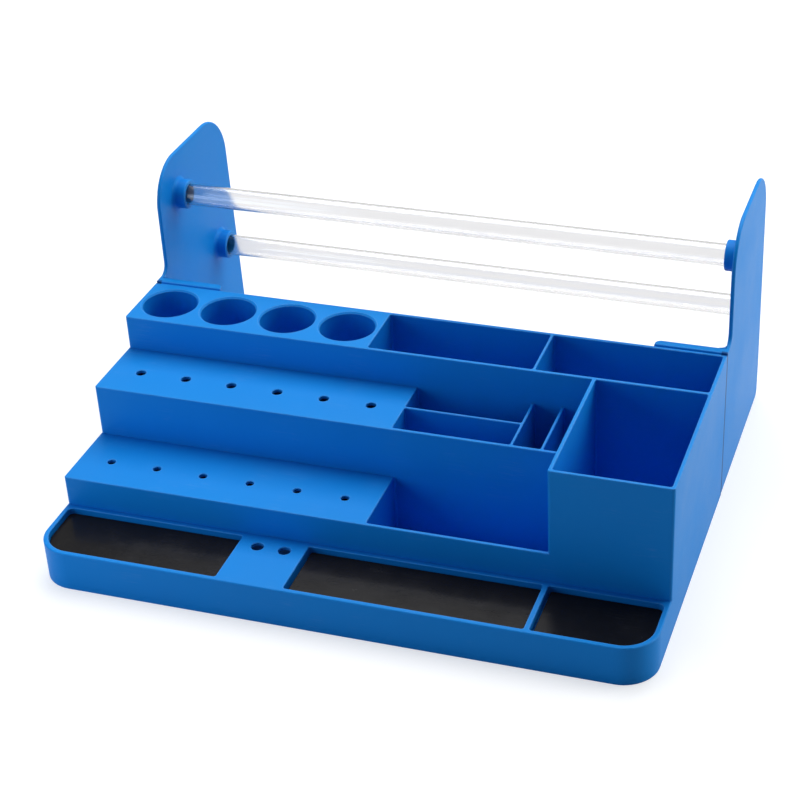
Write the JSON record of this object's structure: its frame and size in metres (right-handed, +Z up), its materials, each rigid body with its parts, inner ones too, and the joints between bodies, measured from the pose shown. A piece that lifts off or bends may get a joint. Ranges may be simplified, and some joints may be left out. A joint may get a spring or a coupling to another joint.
{
  "type": "hobby workstation organizer",
  "caption": "Stepped bench organizer with tray pockets, tool decks, bottle wells, bins and clear spool tubes between two side brackets.",
  "frame": {"origin": "bottom centre of the whole organizer, on the bench", "axes": "+X to the right as the user sits, +Y to the back where the tubes are, +Z up"},
  "size_m": [0.3, 0.2566, 0.1395],
  "materials": {
    "blue_plastic": "satin moulded",
    "clear_acrylic": "polished clear",
    "black_rubber": "matte",
    "screw_steel": "zinc plated"
  },
  "bodies": {
    "organizer": {"body": "blue_plastic", "left_bracket": "blue_plastic", "right_bracket": "blue_plastic", "bracket_screws": "screw_steel"},
    "upper_tube": {"upper_tube": "clear_acrylic"},
    "lower_tube": {"lower_tube": "clear_acrylic"},
    "left_mat": {"left_mat": "black_rubber"},
    "centre_mat": {"centre_mat": "black_rubber"},
    "right_mat": {"right_mat": "black_rubber"}
  },
  "joints": [
    {"name": "upper_tube_turn", "type": "hinge", "parent": "organizer", "child": "upper_tube", "pos_m": [0, 0.06145, 0.117], "axis": [1, 0, 0], "continuous": true},
    {"name": "lower_tube_turn", "type": "hinge", "parent": "organizer", "child": "lower_tube", "pos_m": [0, 0.10355, 0.0667], "axis": [1, 0, 0], "continuous": true},
    {"name": "left_mat_lift", "type": "slide", "parent": "organizer", "child": "left_mat", "axis": [0, 0, 1], "range_m": [0, 0.04]},
    {"name": "centre_mat_lift", "type": "slide", "parent": "organizer", "child": "centre_mat", "axis": [0, 0, 1], "range_m": [0, 0.04]},
    {"name": "right_mat_lift", "type": "slide", "parent": "organizer", "child": "right_mat", "axis": [0, 0, 1], "range_m": [0, 0.04]}
  ]
}
